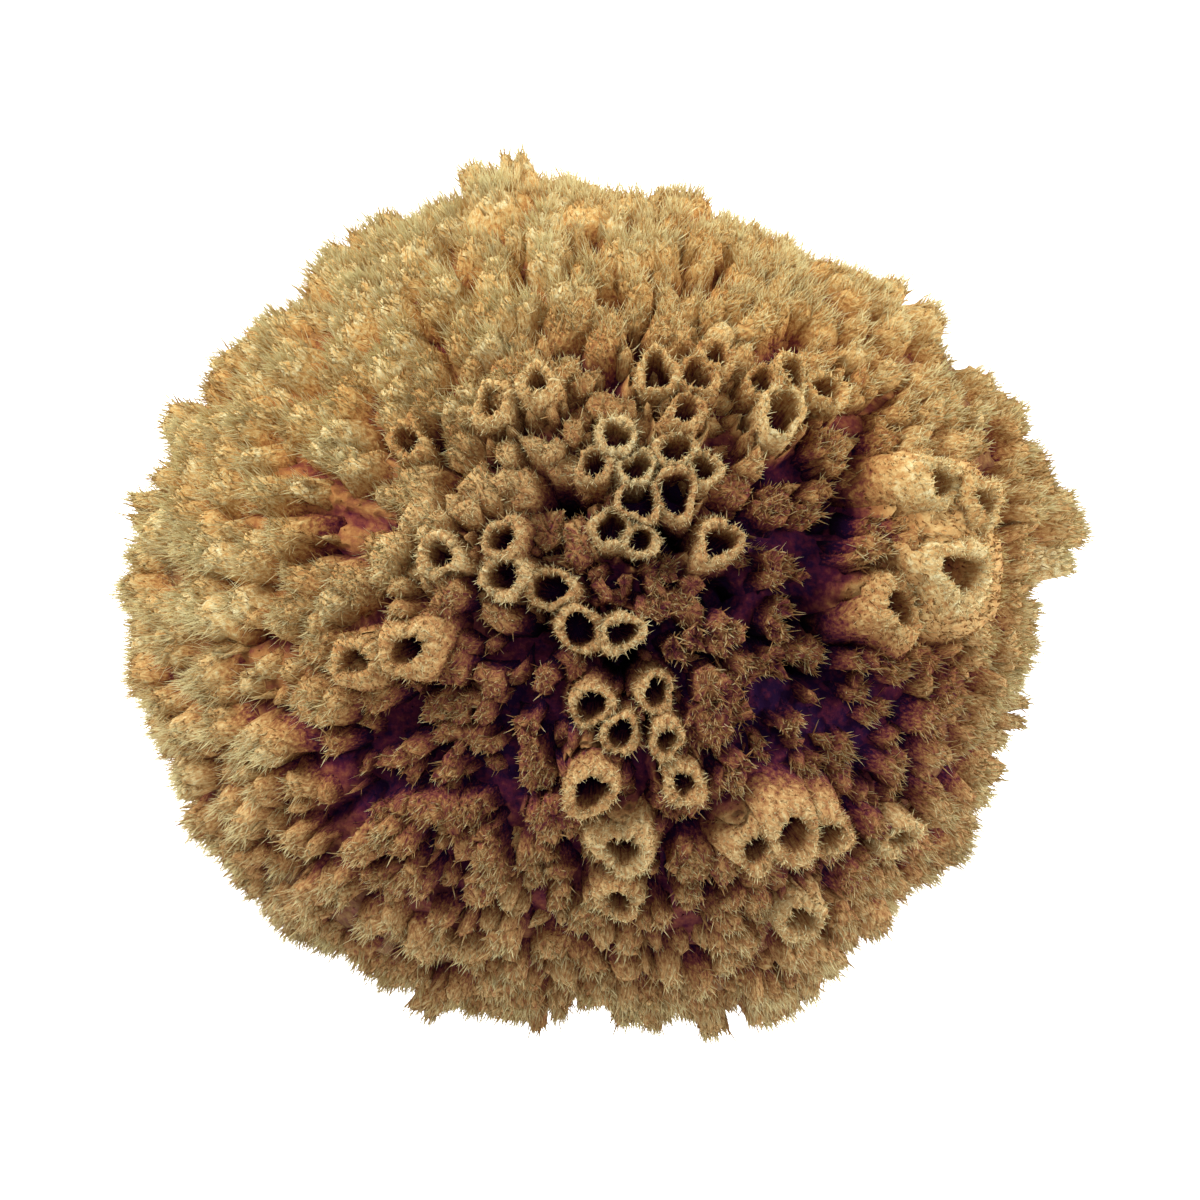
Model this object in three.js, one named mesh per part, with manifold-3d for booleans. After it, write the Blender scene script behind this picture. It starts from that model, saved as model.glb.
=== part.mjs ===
// A natural wool sponge as it dries: a rounded cushion grown all over with upright tufts, with open
// chimneys (oscula) in clusters on its upper side, cut off flat where it was taken from the rock.
// It is one grown piece, so it is one closed solid. Millimetres, +Z up, and the origin is on the flat
// cut, under the middle of the sponge.
import * as THREE from "three";
import { ConvexHull } from "three/addons/math/ConvexHull.js";
import { mergeVertices } from "three/addons/utils/BufferGeometryUtils.js";
import Module from "manifold-3d";

// REACH is how far the tuft tips stand from the middle, round the waist, every 15 degrees from +X
// towards +Y.
const REACH = [
  69.5, 71, 69.5, 66.5, 62.5, 62.5, 64.5, 68, 66.5, 66.5, 70, 72, 73, 73.5, 73, 72, 70.5, 67.5,
  65.5, 68.5, 69, 66.5, 67, 67.5,
];
const WAIST_Z = 41; // the widest level, above the cut
const CROWN = 55; // from the waist up to the tuft tips on top
const KEEL = 59; // how far the underside would reach below the waist if it weren't cut off
const FULLNESS = 2.15; // roundness of the side: 2 is an ellipse, and more is boxier
const SIDE_TUFT = 11; // length of the tufts round the side
const CROWN_TUFT = 14; // and on top, where they stand freer
const UPTURN = 0.06; // how far the growth leans up from straight outwards, in radians, at mid height
const MIDDLE = new THREE.Vector3(0, 0, WAIST_Z);

// Swells and hollows of the whole surface, in plan: x, y, half width, rise.
const SWELLS = [
  [-12, 26, 9, 3],
  [-20, 12, 8, 2],
  [-28, -8, 8, 3],
  [47, 8, 9, 5],
  [12, 28, 11, 2],
  [-2, -29, 7, 3],
  [26, -33, 7, 3],
  [-22, 21, 5, -5],
  [-6, 13, 4, -5],
  [-9, -4, 4, -5],
  [4, -11, 5, -4],
  [37, 14, 5, -5],
  [34, -2, 6, -5],
  [37, -14, 6, -5],
  [-5, -39, 7, -3],
  [-28, -19, 7, -3],
];

// Chimneys, in plan: x, y, radius of the mouth, height of the rim over the tufts round it.
const CHIMNEYS = [
  [16, 33, 1.5, 0],
  [7.5, 30, 1.8, 0.5],
  [13, 30, 2, 0],
  [22.5, 29.5, 1.5, 0],
  [26.5, 31, 1.5, 0.5],
  [25, 25.5, 2.4, 0.5],
  [11.5, 25, 1.7, 0.5],
  [14, 17.5, 1.4, 0],
  [10, 20, 1.7, 0],
  [5, 17.5, 1.6, 0],
  [2, 21.5, 1.6, 0.5],
  [-1, 18, 1.5, 0.5],
  [5.2, 13, 2.1, 0.5],
  [10, 14, 2.2, 0.5],
  [1.5, 9.5, 1.8, 0.5],
  [5.5, 7.5, 1.4, 0],
  [16.5, 7.5, 1.8, 0],
  [32, 29, 1.7, 0],
  [-14.5, 25.5, 1.5, 1],
  [-8.5, 28, 1.3, 1],
  [-22, 5.5, 1.5, 0],
  [-13.5, 7.5, 1.5, 1],
  [-13.5, 2.5, 1.8, 1],
  [-7.5, 1, 1.9, 1],
  [-28, 22.5, 1.4, 0],
  [-33.5, -9, 1.4, 0.5],
  [-26, -7.5, 1.7, 1],
  [-3, -5, 2, 1],
  [3, -5.5, 1.6, 1],
  [-1.5, -16, 1.8, 0],
  [2.5, -19.5, 1.6, 0],
  [8, -14.5, 1.5, 0],
  [9, -20.5, 1.3, 0],
  [11.5, -26.5, 1.3, 0],
  [-1.5, -26, 2, 1.5],
  [3, -35.5, 1.9, 1],
  [2.5, -44.5, 1.5, 0],
  [25.5, -32, 2, 1],
  [30.5, -32.5, 1.5, 0.5],
  [21, -34.5, 1.5, 0.5],
  [43, -35, 1.5, 0],
  [28.5, -46.5, 1.8, 0],
  [45.5, 15, 1.8, 1],
  [50.5, 12.5, 1.6, 1],
  [47.5, 3, 2.3, 1],
  [42, -1.5, 1.9, 0.5],
];
const CHIMNEY_WALL = 1.5;
const CHIMNEY_DEPTH = 12; // from the rim down to the bottom of the hole
const CHIMNEY_TAPER = 0.6; // radius of the hole's bottom, as a share of the mouth
const CHIMNEY_SIDES = 8;
const CHIMNEY_FLOOR_SIDES = 5;
const RIM_FALL = 0.6; // how far the rim slopes down outwards
const SHARED_WALL = 0.9; // between the holes of two chimneys that stand against each other

// Gaps where no tuft stands, in plan: x, y, radius. They go down to the dark inside.
const GAPS = [
  [11.5, 9.5, 2.6],
  [3.5, -11.5, 3.2],
  [19.5, -0.5, 2.8],
  [-9.5, -3.5, 2.2],
  [34, -3.5, 2.4],
  [37, -13, 2.6],
  [23, 16.5, 2.2],
  [37, 13, 2.2],
  [-5.5, 14.5, 2.6],
  [27, -7.5, 2],
];
const GAP_DEPTH = 4; // below the roots of the tufts

// The tufts stand at even places over the whole ball, each moved a little. Those under the cut go.
const PLACES = 1010;
const WANDER = 0.34; // of the distance from one tuft to the next
const TIP_SPREAD = 1.6; // from the middle of a tuft to each tip of a split one
const SINGLE_SHARE = 0.34; // share of the tufts with one tip
const PAIR_SHARE = 0.4; // share with two tips. The others have three
const SHORTEST = 0.86; // a short tuft's share of the full length
const TIP_STEP = 0.08; // most that a tip stands below its tuft's length, as a share of it
const FURROW = 0.34; // height of the low places between tufts, as a share of the tufts' length
const CLOSEST_FURROWS = 1.9; // two low places nearer than this are made one
const FOOT_ROOM = 0.4; // between a chimney's wall and the low places round it
const GOLDEN_ANGLE = Math.PI * (3 - Math.sqrt(5));

// Canals that the cut has opened underneath: a spiral of round holes.
const CANALS = 15;
const CANAL_RING = 36; // distance of the outermost canal from the middle
const CANAL_RADIUS = [1.5, 3.3];
const CANAL_DEPTH = [6, 11];
const CANAL_TAPER = 0.7; // radius of the canal's bottom, as a share of its mouth
const CANAL_SIDES = 7;
const FAR = 300; // larger than the sponge, for the block that the cut takes away
const SETTLING_STEPS = 12; // enough for directionOver to come within a hundredth of a millimetre

// What each of the numbers from chance is for.
const DRAW = {
  east: 1, north: 2, tips: 3, length: 4, turn: 5, tip: 6, rim: 9, canalRadius: 11, canalDepth: 12,
};

// A number from 0 to 1 that is always the same for the same pair.
function chance(index, salt) {
  const wave = Math.sin(index * 12.9898 + salt * 78.233) * 43758.5453;
  return wave - Math.floor(wave);
}

// REACH at any angle, on a smooth curve through its values.
function reach(angle) {
  const turn = ((angle / (2 * Math.PI)) * REACH.length + REACH.length) % REACH.length;
  const first = Math.floor(turn);
  const t = turn - first;
  const [a, b, c, d] = [-1, 0, 1, 2].map(
    (step) => REACH[(first + step + REACH.length) % REACH.length],
  );
  return b + 0.5 * t * (c - a + t * (2 * a - 5 * b + 4 * c - d + t * (3 * (b - c) + d - a)));
}

// Distance from MIDDLE to the smooth outline that the tuft tips reach, in direction dir.
function outline(dir) {
  const across = Math.hypot(dir.x, dir.y) / reach(Math.atan2(dir.y, dir.x));
  const along = Math.abs(dir.z) / (dir.z > 0 ? CROWN : KEEL);
  return (across ** FULLNESS + along ** FULLNESS) ** (-1 / FULLNESS);
}

// Length of the tufts in direction dir.
function tuftLength(dir) {
  return SIDE_TUFT + (CROWN_TUFT - SIDE_TUFT) * Math.max(0, dir.z) ** 2;
}

// The way that tufts and chimneys grow at dir: outwards, and turned up a little above the waist.
function growth(dir) {
  const tilt = Math.acos(THREE.MathUtils.clamp(dir.z, -1, 1));
  const turned = tilt - UPTURN * Math.max(0, Math.sin(2 * tilt));
  const azimuth = Math.atan2(dir.y, dir.x);
  return new THREE.Vector3(
    Math.sin(turned) * Math.cos(azimuth),
    Math.sin(turned) * Math.sin(azimuth),
    Math.cos(turned),
  );
}

// The direction whose place on the smooth outline lies over x, y on the upper side.
function directionOver(x, y) {
  const dir = new THREE.Vector3(x, y, CROWN).normalize();
  for (let i = 0; i < SETTLING_STEPS; i++) {
    const tip = dir.clone().multiplyScalar(outline(dir) - tuftLength(dir));
    tip.addScaledVector(growth(dir), tuftLength(dir));
    dir.x += (x - tip.x) / CROWN;
    dir.y += (y - tip.y) / CROWN;
    dir.normalize();
  }
  return dir;
}

const swells = SWELLS.map(([x, y, width, rise]) => ({ dir: directionOver(x, y), width, rise }));

// How much the swells and hollows raise the surface at dir.
function swell(dir) {
  return swells.reduce((sum, { dir: top, width, rise }) => {
    const away = (dir.distanceTo(top) * outline(top)) / width;
    return sum + rise * Math.exp(-0.5 * away * away);
  }, 0);
}

// The point at dir that is height above the roots of the tufts, measured the way they grow.
function place(dir, height) {
  return dir
    .clone()
    .multiplyScalar(outline(dir) - tuftLength(dir) + swell(dir))
    .add(MIDDLE)
    .addScaledVector(growth(dir), height);
}

// The direction u, v millimetres beside dir, on the surface.
function beside(dir, u, v) {
  const east = new THREE.Vector3(-dir.y, dir.x, 0);
  const atPole = east.lengthSq() === 0;
  if (atPole) east.set(0, 1, 0);
  east.normalize();
  const north = dir.clone().cross(east);
  return dir
    .clone()
    .addScaledVector(east, u / outline(dir))
    .addScaledVector(north, v / outline(dir))
    .normalize();
}

// Directions evenly spaced round dir, at radius millimetres from it.
function ring(dir, radius, sides, turn = 0) {
  return Array.from({ length: sides }, (_, i) => {
    const angle = turn + (i / sides) * 2 * Math.PI;
    return beside(dir, radius * Math.cos(angle), radius * Math.sin(angle));
  });
}

const apart = (a, b) => a.distanceTo(b) * outline(a);

const chimneys = CHIMNEYS.map(([x, y, mouth, rise], index) => ({
  dir: directionOver(x, y),
  mouth,
  rise,
  turn: chance(index, DRAW.rim) * Math.PI,
}));
const gaps = GAPS.map(([x, y, radius]) => ({ dir: directionOver(x, y), radius }));

// The middles of the tufts, clear of the chimneys and gaps.
function tuftMiddles() {
  const pitch = Math.sqrt((4 * Math.PI) / PLACES);
  const found = [];
  for (let i = 0; i < PLACES; i++) {
    const height = 1 - (2 * i + 1) / PLACES;
    const angle = i * GOLDEN_ANGLE;
    const width = Math.sqrt(1 - height * height);
    const even = new THREE.Vector3(width * Math.cos(angle), width * Math.sin(angle), height);
    const step = WANDER * pitch * outline(even);
    const [u, v] = [DRAW.east, DRAW.north].map((draw) => step * (2 * chance(i, draw) - 1));
    const dir = beside(even, u, v);
    const crowded =
      chimneys.some((c) => apart(dir, c.dir) < c.mouth + CHIMNEY_WALL + TIP_SPREAD) ||
      gaps.some((g) => apart(dir, g.dir) < g.radius + TIP_SPREAD / 2);
    const wellUnderCut = place(dir, 0).z < -tuftLength(dir);
    if (!crowded && !wellUnderCut) found.push({ index: i, dir });
  }
  return found;
}

// A tuft's tips: one, two or three corners of its blunt top.
function tips({ index, dir }) {
  const share = chance(index, DRAW.tips);
  const count = share < SINGLE_SHARE ? 1 : share < SINGLE_SHARE + PAIR_SHARE ? 2 : 3;
  const length = tuftLength(dir) * (SHORTEST + (1 - SHORTEST) * chance(index, DRAW.length));
  const turn = chance(index, DRAW.turn) * 2 * Math.PI;
  const directions = count === 1 ? [dir] : ring(dir, TIP_SPREAD, count, turn);
  return directions.map((tip, i) => ({
    dir: tip,
    height: length * (1 - TIP_STEP * chance(index, DRAW.tip + i)),
  }));
}

// A chimney's vertices: the outside and the inside of its rim, and the bottom of its hole.
function chimneyVertices({ dir, mouth, rise, turn }) {
  const rim = tuftLength(dir) + rise;
  const shared = (at) =>
    chimneys.some((c) => c.dir !== dir && apart(at, c.dir) < c.mouth + SHARED_WALL);
  const outside = ring(dir, mouth + CHIMNEY_WALL, CHIMNEY_SIDES, turn).filter((at) => !shared(at));
  const inside = ring(dir, mouth, CHIMNEY_SIDES, turn + Math.PI / CHIMNEY_SIDES);
  const bottom = ring(dir, mouth * CHIMNEY_TAPER, CHIMNEY_FLOOR_SIDES, turn);
  return [
    ...outside.map((at) => ({ dir: at, height: rim - RIM_FALL, foot: true })),
    ...inside.map((at) => ({ dir: at, height: rim })),
    ...bottom.map((at) => ({ dir: at, height: rim - CHIMNEY_DEPTH })),
  ];
}

// The triangles between unit directions, as lists of their places in the list.
function triangulate(directions) {
  const hull = new ConvexHull().setFromPoints(directions);
  const order = new Map(directions.map((dir, i) => [dir, i]));
  return hull.faces.map((face) => {
    const corners = [];
    let edge = face.edge;
    do {
      corners.push(order.get(edge.head().point));
      edge = edge.next;
    } while (edge !== face.edge);
    return corners;
  });
}

// The low places: the points farthest from the tufts and chimneys round them.
function furrows(standing) {
  const found = [];
  for (const [a, b, c] of triangulate(standing.map((s) => s.dir))) {
    const [p, q, r] = [standing[a].dir, standing[b].dir, standing[c].dir];
    const dir = q.clone().sub(p).cross(r.clone().sub(p)).normalize();
    const inChimney = chimneys.some(
      (chimney) => apart(dir, chimney.dir) < chimney.mouth + CHIMNEY_WALL + FOOT_ROOM,
    );
    const near = found.some((other) => apart(dir, other.dir) < CLOSEST_FURROWS);
    if (inChimney || near || apart(dir, p) < CLOSEST_FURROWS) continue;
    const inGap = gaps.some((gap) => apart(dir, gap.dir) < gap.radius);
    found.push({ dir, height: inGap ? -GAP_DEPTH : FURROW * tuftLength(dir) });
  }
  return found;
}

// The whole surface, before the cut.
function grownGeometry() {
  const tufts = tuftMiddles();
  const chimneyPoints = chimneys.flatMap(chimneyVertices);
  const gapFloors = gaps.map(({ dir }) => ({ dir, height: -GAP_DEPTH }));
  const standing = [...tufts, ...chimneyPoints.filter((point) => point.foot), ...gapFloors];
  const vertices = [...tufts.flatMap(tips), ...chimneyPoints, ...gapFloors, ...furrows(standing)];
  const points = vertices.map(({ dir, height }) => place(dir, height));
  const geometry = new THREE.BufferGeometry().setFromPoints(points);
  return geometry.setIndex(triangulate(vertices.map((v) => v.dir)).flat());
}

const wasm = await Module();
wasm.setup();

function solidOf(geometry) {
  const bare = geometry.clone();
  bare.deleteAttribute("normal");
  bare.deleteAttribute("uv");
  const merged = mergeVertices(bare);
  return new wasm.Manifold(
    new wasm.Mesh({
      numProp: 3,
      vertProperties: merged.attributes.position.array,
      triVerts: new Uint32Array(merged.index.array),
    }),
  );
}

function geometryOf(solid) {
  const { vertProperties, triVerts } = solid.getMesh();
  const geometry = new THREE.BufferGeometry();
  geometry.setAttribute("position", new THREE.BufferAttribute(vertProperties, 3));
  geometry.setIndex(new THREE.BufferAttribute(triVerts, 1));
  return geometry;
}

// A canal is a round hole that goes up from the cut. The middle of the cut is left whole.
function canal(index) {
  const share = (index + 1) / CANALS;
  const between = ([low, high], salt) => low + (high - low) * chance(index, salt);
  const radius = between(CANAL_RADIUS, DRAW.canalRadius);
  const depth = between(CANAL_DEPTH, DRAW.canalDepth);
  const away = CANAL_RING * Math.sqrt(share);
  const angle = index * GOLDEN_ANGLE;
  return new THREE.CylinderGeometry(radius * CANAL_TAPER, radius, 2 * depth, CANAL_SIDES)
    .rotateX(Math.PI / 2)
    .translate(away * Math.cos(angle), away * Math.sin(angle), 0);
}

function cutSolid() {
  const block = new THREE.BoxGeometry(FAR, FAR, FAR).translate(0, 0, -FAR / 2);
  const canals = Array.from({ length: CANALS }, (_, index) => canal(index));
  return [block, ...canals].reduce(
    (solid, tool) => solid.subtract(solidOf(tool)),
    solidOf(grownGeometry()),
  );
}

const spongin = new THREE.MeshStandardMaterial({
  color: 0xb98f58,
  roughness: 0.95,
  metalness: 0,
  flatShading: true,
});

const sponge = new THREE.Mesh(geometryOf(cutSolid()), spongin);
sponge.name = "sponge";

const part = new THREE.Group();
part.add(sponge);

export default part;
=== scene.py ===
import bmesh
import bpy
import numpy as np
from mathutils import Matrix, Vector


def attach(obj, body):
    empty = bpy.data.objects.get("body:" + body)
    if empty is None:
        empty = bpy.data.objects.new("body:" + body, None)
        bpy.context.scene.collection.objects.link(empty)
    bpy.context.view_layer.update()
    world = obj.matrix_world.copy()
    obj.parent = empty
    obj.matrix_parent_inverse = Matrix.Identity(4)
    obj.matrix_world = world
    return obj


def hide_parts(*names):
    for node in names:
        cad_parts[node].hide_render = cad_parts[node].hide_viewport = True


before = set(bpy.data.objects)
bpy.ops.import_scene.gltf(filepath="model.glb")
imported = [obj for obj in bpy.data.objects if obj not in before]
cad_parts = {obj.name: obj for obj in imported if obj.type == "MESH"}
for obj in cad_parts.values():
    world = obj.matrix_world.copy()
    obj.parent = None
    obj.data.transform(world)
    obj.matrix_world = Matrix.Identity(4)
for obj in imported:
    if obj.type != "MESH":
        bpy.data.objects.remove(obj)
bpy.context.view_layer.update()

MM = 0.001

# The sponge's form, as in part.mjs.
REACH = np.array([
    69.5, 71, 69.5, 66.5, 62.5, 62.5, 64.5, 68, 66.5, 66.5, 70, 72, 73, 73.5, 73, 72, 70.5, 67.5,
    65.5, 68.5, 69, 66.5, 67, 67.5,
])
WAIST_Z = 41
CROWN = 55
KEEL = 59
FULLNESS = 2.15
SIDE_TUFT = 11
CROWN_TUFT = 14
UPTURN = 0.06
MIDDLE = np.array([0, 0, WAIST_Z])

# Swells and hollows in plan: x, y, half width, rise.
SWELLS = [
    (-12, 26, 9, 3), (-20, 12, 8, 2), (-28, -8, 8, 3), (47, 8, 9, 5), (12, 28, 11, 2), (-2, -29, 7, 3),
    (26, -33, 7, 3), (-22, 21, 5, -5), (-6, 13, 4, -5), (-9, -4, 4, -5), (4, -11, 5, -4),
    (37, 14, 5, -5), (34, -2, 6, -5), (37, -14, 6, -5), (-5, -39, 7, -3), (-28, -19, 7, -3),
]
# Chimneys in plan: x, y, radius of the mouth, height of the rim over the tufts.
CHIMNEYS = np.array([
    (16, 33, 1.5, 0), (7.5, 30, 1.8, 0.5), (13, 30, 2, 0), (22.5, 29.5, 1.5, 0), (26.5, 31, 1.5, 0.5),
    (25, 25.5, 2.4, 0.5), (11.5, 25, 1.7, 0.5), (14, 17.5, 1.4, 0), (10, 20, 1.7, 0), (5, 17.5, 1.6, 0),
    (2, 21.5, 1.6, 0.5), (-1, 18, 1.5, 0.5), (5.2, 13, 2.1, 0.5), (10, 14, 2.2, 0.5),
    (1.5, 9.5, 1.8, 0.5), (5.5, 7.5, 1.4, 0), (16.5, 7.5, 1.8, 0), (32, 29, 1.7, 0),
    (-14.5, 25.5, 1.5, 1), (-8.5, 28, 1.3, 1), (-22, 5.5, 1.5, 0), (-13.5, 7.5, 1.5, 1),
    (-13.5, 2.5, 1.8, 1), (-7.5, 1, 1.9, 1), (-28, 22.5, 1.4, 0), (-33.5, -9, 1.4, 0.5),
    (-26, -7.5, 1.7, 1), (-3, -5, 2, 1), (3, -5.5, 1.6, 1), (-1.5, -16, 1.8, 0), (2.5, -19.5, 1.6, 0),
    (8, -14.5, 1.5, 0), (9, -20.5, 1.3, 0), (11.5, -26.5, 1.3, 0), (-1.5, -26, 2, 1.5),
    (3, -35.5, 1.9, 1), (2.5, -44.5, 1.5, 0), (25.5, -32, 2, 1), (30.5, -32.5, 1.5, 0.5),
    (21, -34.5, 1.5, 0.5), (43, -35, 1.5, 0), (28.5, -46.5, 1.8, 0), (45.5, 15, 1.8, 1),
    (50.5, 12.5, 1.6, 1), (47.5, 3, 2.3, 1), (42, -1.5, 1.9, 0.5),
])
CHIMNEY_WALL = 1.5
CHIMNEY_DEPTH = 12
GAPS = np.array([
    (11.5, 9.5, 2.6), (3.5, -11.5, 3.2), (19.5, -0.5, 2.8), (-9.5, -3.5, 2.2), (34, -3.5, 2.4),
    (37, -13, 2.6), (23, 16.5, 2.2), (37, 13, 2.2), (-5.5, 14.5, 2.6), (27, -7.5, 2),
])
GAP_DEPTH = 4
PLACES = 1010
WANDER = 0.34
TIP_SPREAD = 1.6
SINGLE_SHARE = 0.34
PAIR_SHARE = 0.4
SHORTEST = 0.86
TIP_STEP = 0.08
FURROW = 0.34
GOLDEN_ANGLE = np.pi * (3 - np.sqrt(5))
UNDERSIDE = 0.4  # how far down a direction points, out of 1, before it counts fully as underside
CANALS = 15
CANAL_RING = 36
CANAL_RADIUS = (1.5, 3.3)
CANAL_DEPTH = (6, 11)
SETTLING_STEPS = 12
DRAW = {
    "east": 1, "north": 2, "tips": 3, "length": 4, "turn": 5, "tip": 6, "rim": 9, "canal_radius": 11,
    "canal_depth": 12,
}


def chance(index, salt):
    """A number from 0 to 1 that is always the same for the same pair."""
    wave = np.sin(np.asarray(index) * 12.9898 + salt * 78.233) * 43758.5453
    return wave - np.floor(wave)


def unit(vectors):
    return vectors / np.linalg.norm(vectors, axis=-1, keepdims=True)


def reach(angle):
    """REACH at any angle, on a smooth curve through its values."""
    turn = (angle / (2 * np.pi) * len(REACH) + len(REACH)) % len(REACH)
    first = np.floor(turn).astype(int)
    t = turn - first
    a, b, c, d = (REACH[(first + step) % len(REACH)] for step in (-1, 0, 1, 2))
    return b + 0.5 * t * (c - a + t * (2 * a - 5 * b + 4 * c - d + t * (3 * (b - c) + d - a)))


def outline(ways):
    """Distance from MIDDLE to the smooth outline that the tuft tips reach, in these directions."""
    across = np.hypot(ways[..., 0], ways[..., 1]) / reach(np.arctan2(ways[..., 1], ways[..., 0]))
    along = np.abs(ways[..., 2]) / np.where(ways[..., 2] > 0, CROWN, KEEL)
    return (across**FULLNESS + along**FULLNESS) ** (-1 / FULLNESS)


def tuft_length(ways):
    return SIDE_TUFT + (CROWN_TUFT - SIDE_TUFT) * np.maximum(0, ways[..., 2]) ** 2


def growth(ways):
    """The way that tufts and chimneys grow: outwards, and turned up a little above the waist."""
    tilt = np.arccos(np.clip(ways[..., 2], -1, 1))
    turned = tilt - UPTURN * np.maximum(0, np.sin(2 * tilt))
    azimuth = np.arctan2(ways[..., 1], ways[..., 0])
    flat = np.sin(turned)
    return np.stack([flat * np.cos(azimuth), flat * np.sin(azimuth), np.cos(turned)], -1)


def directions_over(plan):
    """The directions whose places on the smooth outline lie over these x, y on the upper side."""
    ways = unit(np.column_stack([plan, np.full(len(plan), CROWN)]).astype(float))
    for _ in range(SETTLING_STEPS):
        length = tuft_length(ways)[:, None]
        tip = ways * (outline(ways)[:, None] - length) + growth(ways) * length
        ways = unit(ways + np.column_stack([(plan - tip[:, :2]) / CROWN, np.zeros(len(plan))]))
    return ways


def spots(rows):
    """Round places of the surface, from rows of x, y, width and amount in plan."""
    rows = np.array(rows, float)
    return directions_over(rows[:, :2]), rows[:, 2], rows[:, 3]


def spread(ways, places):
    """The sum over the places of their amounts, each fading out with distance from its middle."""
    total = np.zeros(ways.shape[:-1])
    for top, width, amount in zip(*places):
        away = np.linalg.norm(ways - top, axis=-1) * outline(top) / width
        total += amount * np.exp(-0.5 * away * away)
    return total


swells = spots(SWELLS)


def place(ways, height):
    """Points at these directions, height above the roots of the tufts, measured as they grow."""
    roots = outline(ways) - tuft_length(ways) + spread(ways, swells)
    return ways * roots[..., None] + MIDDLE + growth(ways) * np.asarray(height)[..., None]


def beside(ways, u, v):
    """The directions u, v millimetres beside these, on the surface."""
    east = unit(np.stack([-ways[..., 1], ways[..., 0], np.zeros(ways.shape[:-1])], -1))
    north = np.cross(ways, east)
    size = outline(ways)
    return unit(ways + east * (u / size)[..., None] + north * (v / size)[..., None])


def apart(ways, other):
    return np.linalg.norm(ways - other, axis=-1) * outline(ways)


def at_most_one(ways, places):
    return np.minimum(spread(ways, places), 1)


def limb_of(ways):
    """0 at the crown, and 1 from the widest level down."""
    return 1 - np.clip(ways[..., 2], 0, 1)


def under_of(ways):
    """0 at the widest level, and 1 well below it."""
    return np.clip(-ways[..., 2] / UNDERSIDE, 0, 1)


def turns(sides):
    """The angle of each side of a ring."""
    return np.arange(sides) / sides * 2 * np.pi


def even_ways(count, turn=0):
    """Directions spread evenly over the whole ball, on a spiral."""
    index = np.arange(count)
    height = 1 - (2 * index + 1) / count
    width = np.sqrt(1 - height * height)
    angle = index * GOLDEN_ANGLE + turn
    return np.column_stack([width * np.cos(angle), width * np.sin(angle), height])


chimney_ways = directions_over(CHIMNEYS[:, :2])
gap_ways = directions_over(GAPS[:, :2])


def outside(ways, past_mouth, past_gap):
    """Which directions are this far outside the mouths of the chimneys, and outside the gaps."""
    free = np.ones(len(ways), bool)
    holes = ((chimney_ways, CHIMNEYS[:, 2], past_mouth), (gap_ways, GAPS[:, 2], past_gap))
    for middles, radii, past in holes:
        for middle, radius in zip(middles, radii):
            free &= apart(ways, middle) > radius + past
    return free


def tuft_middles():
    """Numbers and directions of the tufts, clear of the chimneys and gaps, as in part.mjs."""
    pitch = np.sqrt(4 * np.pi / PLACES)
    index = np.arange(PLACES)
    even = even_ways(PLACES)
    step = WANDER * pitch * outline(even)
    u, v = (step * (2 * chance(index, DRAW[name]) - 1) for name in ("east", "north"))
    ways = beside(even, u, v)
    free = place(ways, np.zeros(PLACES))[:, 2] >= -tuft_length(ways)
    free &= outside(ways, CHIMNEY_WALL + TIP_SPREAD, TIP_SPREAD / 2)
    return index[free], ways[free]


# The looks of the surface by region, in plan: x, y, half width, amount.
WOOLLY = spots([
    (-45, 25, 22, 1), (-15, 52, 18, 1), (-60, -5, 16, 0.8), (25, 50, 18, 0.6), (-35, 45, 15, 0.6),
])
OPEN = spots([
    (30, -4, 13, 1), (12, -12, 11, 0.8), (-10, -2, 8, 0.5), (35, -18, 12, 0.7), (15, 5, 8, 0.5),
    (35, 12, 8, 0.5), (-18, -25, 12, 0.4),
])

# Parts where painted shade darkens the colours, and felt that stands nearly as high as the tufts.
PAINTED_SHADE_SPOTS = spots([
    (29, -18, 16, 1), (-20, -20, 9, 0.8), (5, -12, 12, 0.7), (8, 5, 9, 0.5), (38, -30, 12, 0.5),
    (-32, -30, 11, 0.4),
])
MASSES = spots([(49, 8, 6, 1), (54, -1, 5.5, 1), (51, 17, 4, 0.8), (46, -1, 4, 0.6)])

# Crevices that run outwards between the woolly tufts, in plan: x, y of both ends, half width.
SLOTS = np.array([
    (-54, 23, -37, 16.5, 0.8), (-56, 14.5, -43, 11.5, 0.8), (-38, 26.5, -32, 22.5, 1),
    (-44, 7, -37, 5, 0.9), (-60, 3, -52, 1.5, 0.6), (-44, 13.5, -32, 10, 0.6), (-44, 38, -34, 40, 1.2),
    (-58, -6.5, -46, -8.5, 0.7), (-57, -16, -44, -20.5, 0.8), (-52, -27, -40, -25, 0.8),
    (-44, -36, -36, -31, 0.8), (-14, 55, -12, 45, 0.8), (-2, 59, 0, 50, 0.7),
    (13, 50, 11.5, 43, 0.7), (30, 40, 25, 34, 0.8), (-30, 46, -25, 38, 0.8),
])
slot_starts = directions_over(SLOTS[:, :2])
slot_ends = directions_over(SLOTS[:, 2:4])


def into_slots(ways):
    """How far inside a crevice these directions are. Less than 0 outside."""
    inside = np.full(ways.shape[:-1], -99.0)
    for start, end, half in zip(slot_starts, slot_ends, SLOTS[:, 4]):
        along = np.clip((ways - start) @ (end - start) / np.sum((end - start) ** 2), 0, 1)
        inside = np.maximum(inside, half - apart(ways, start + along[..., None] * (end - start)))
    return inside


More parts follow.
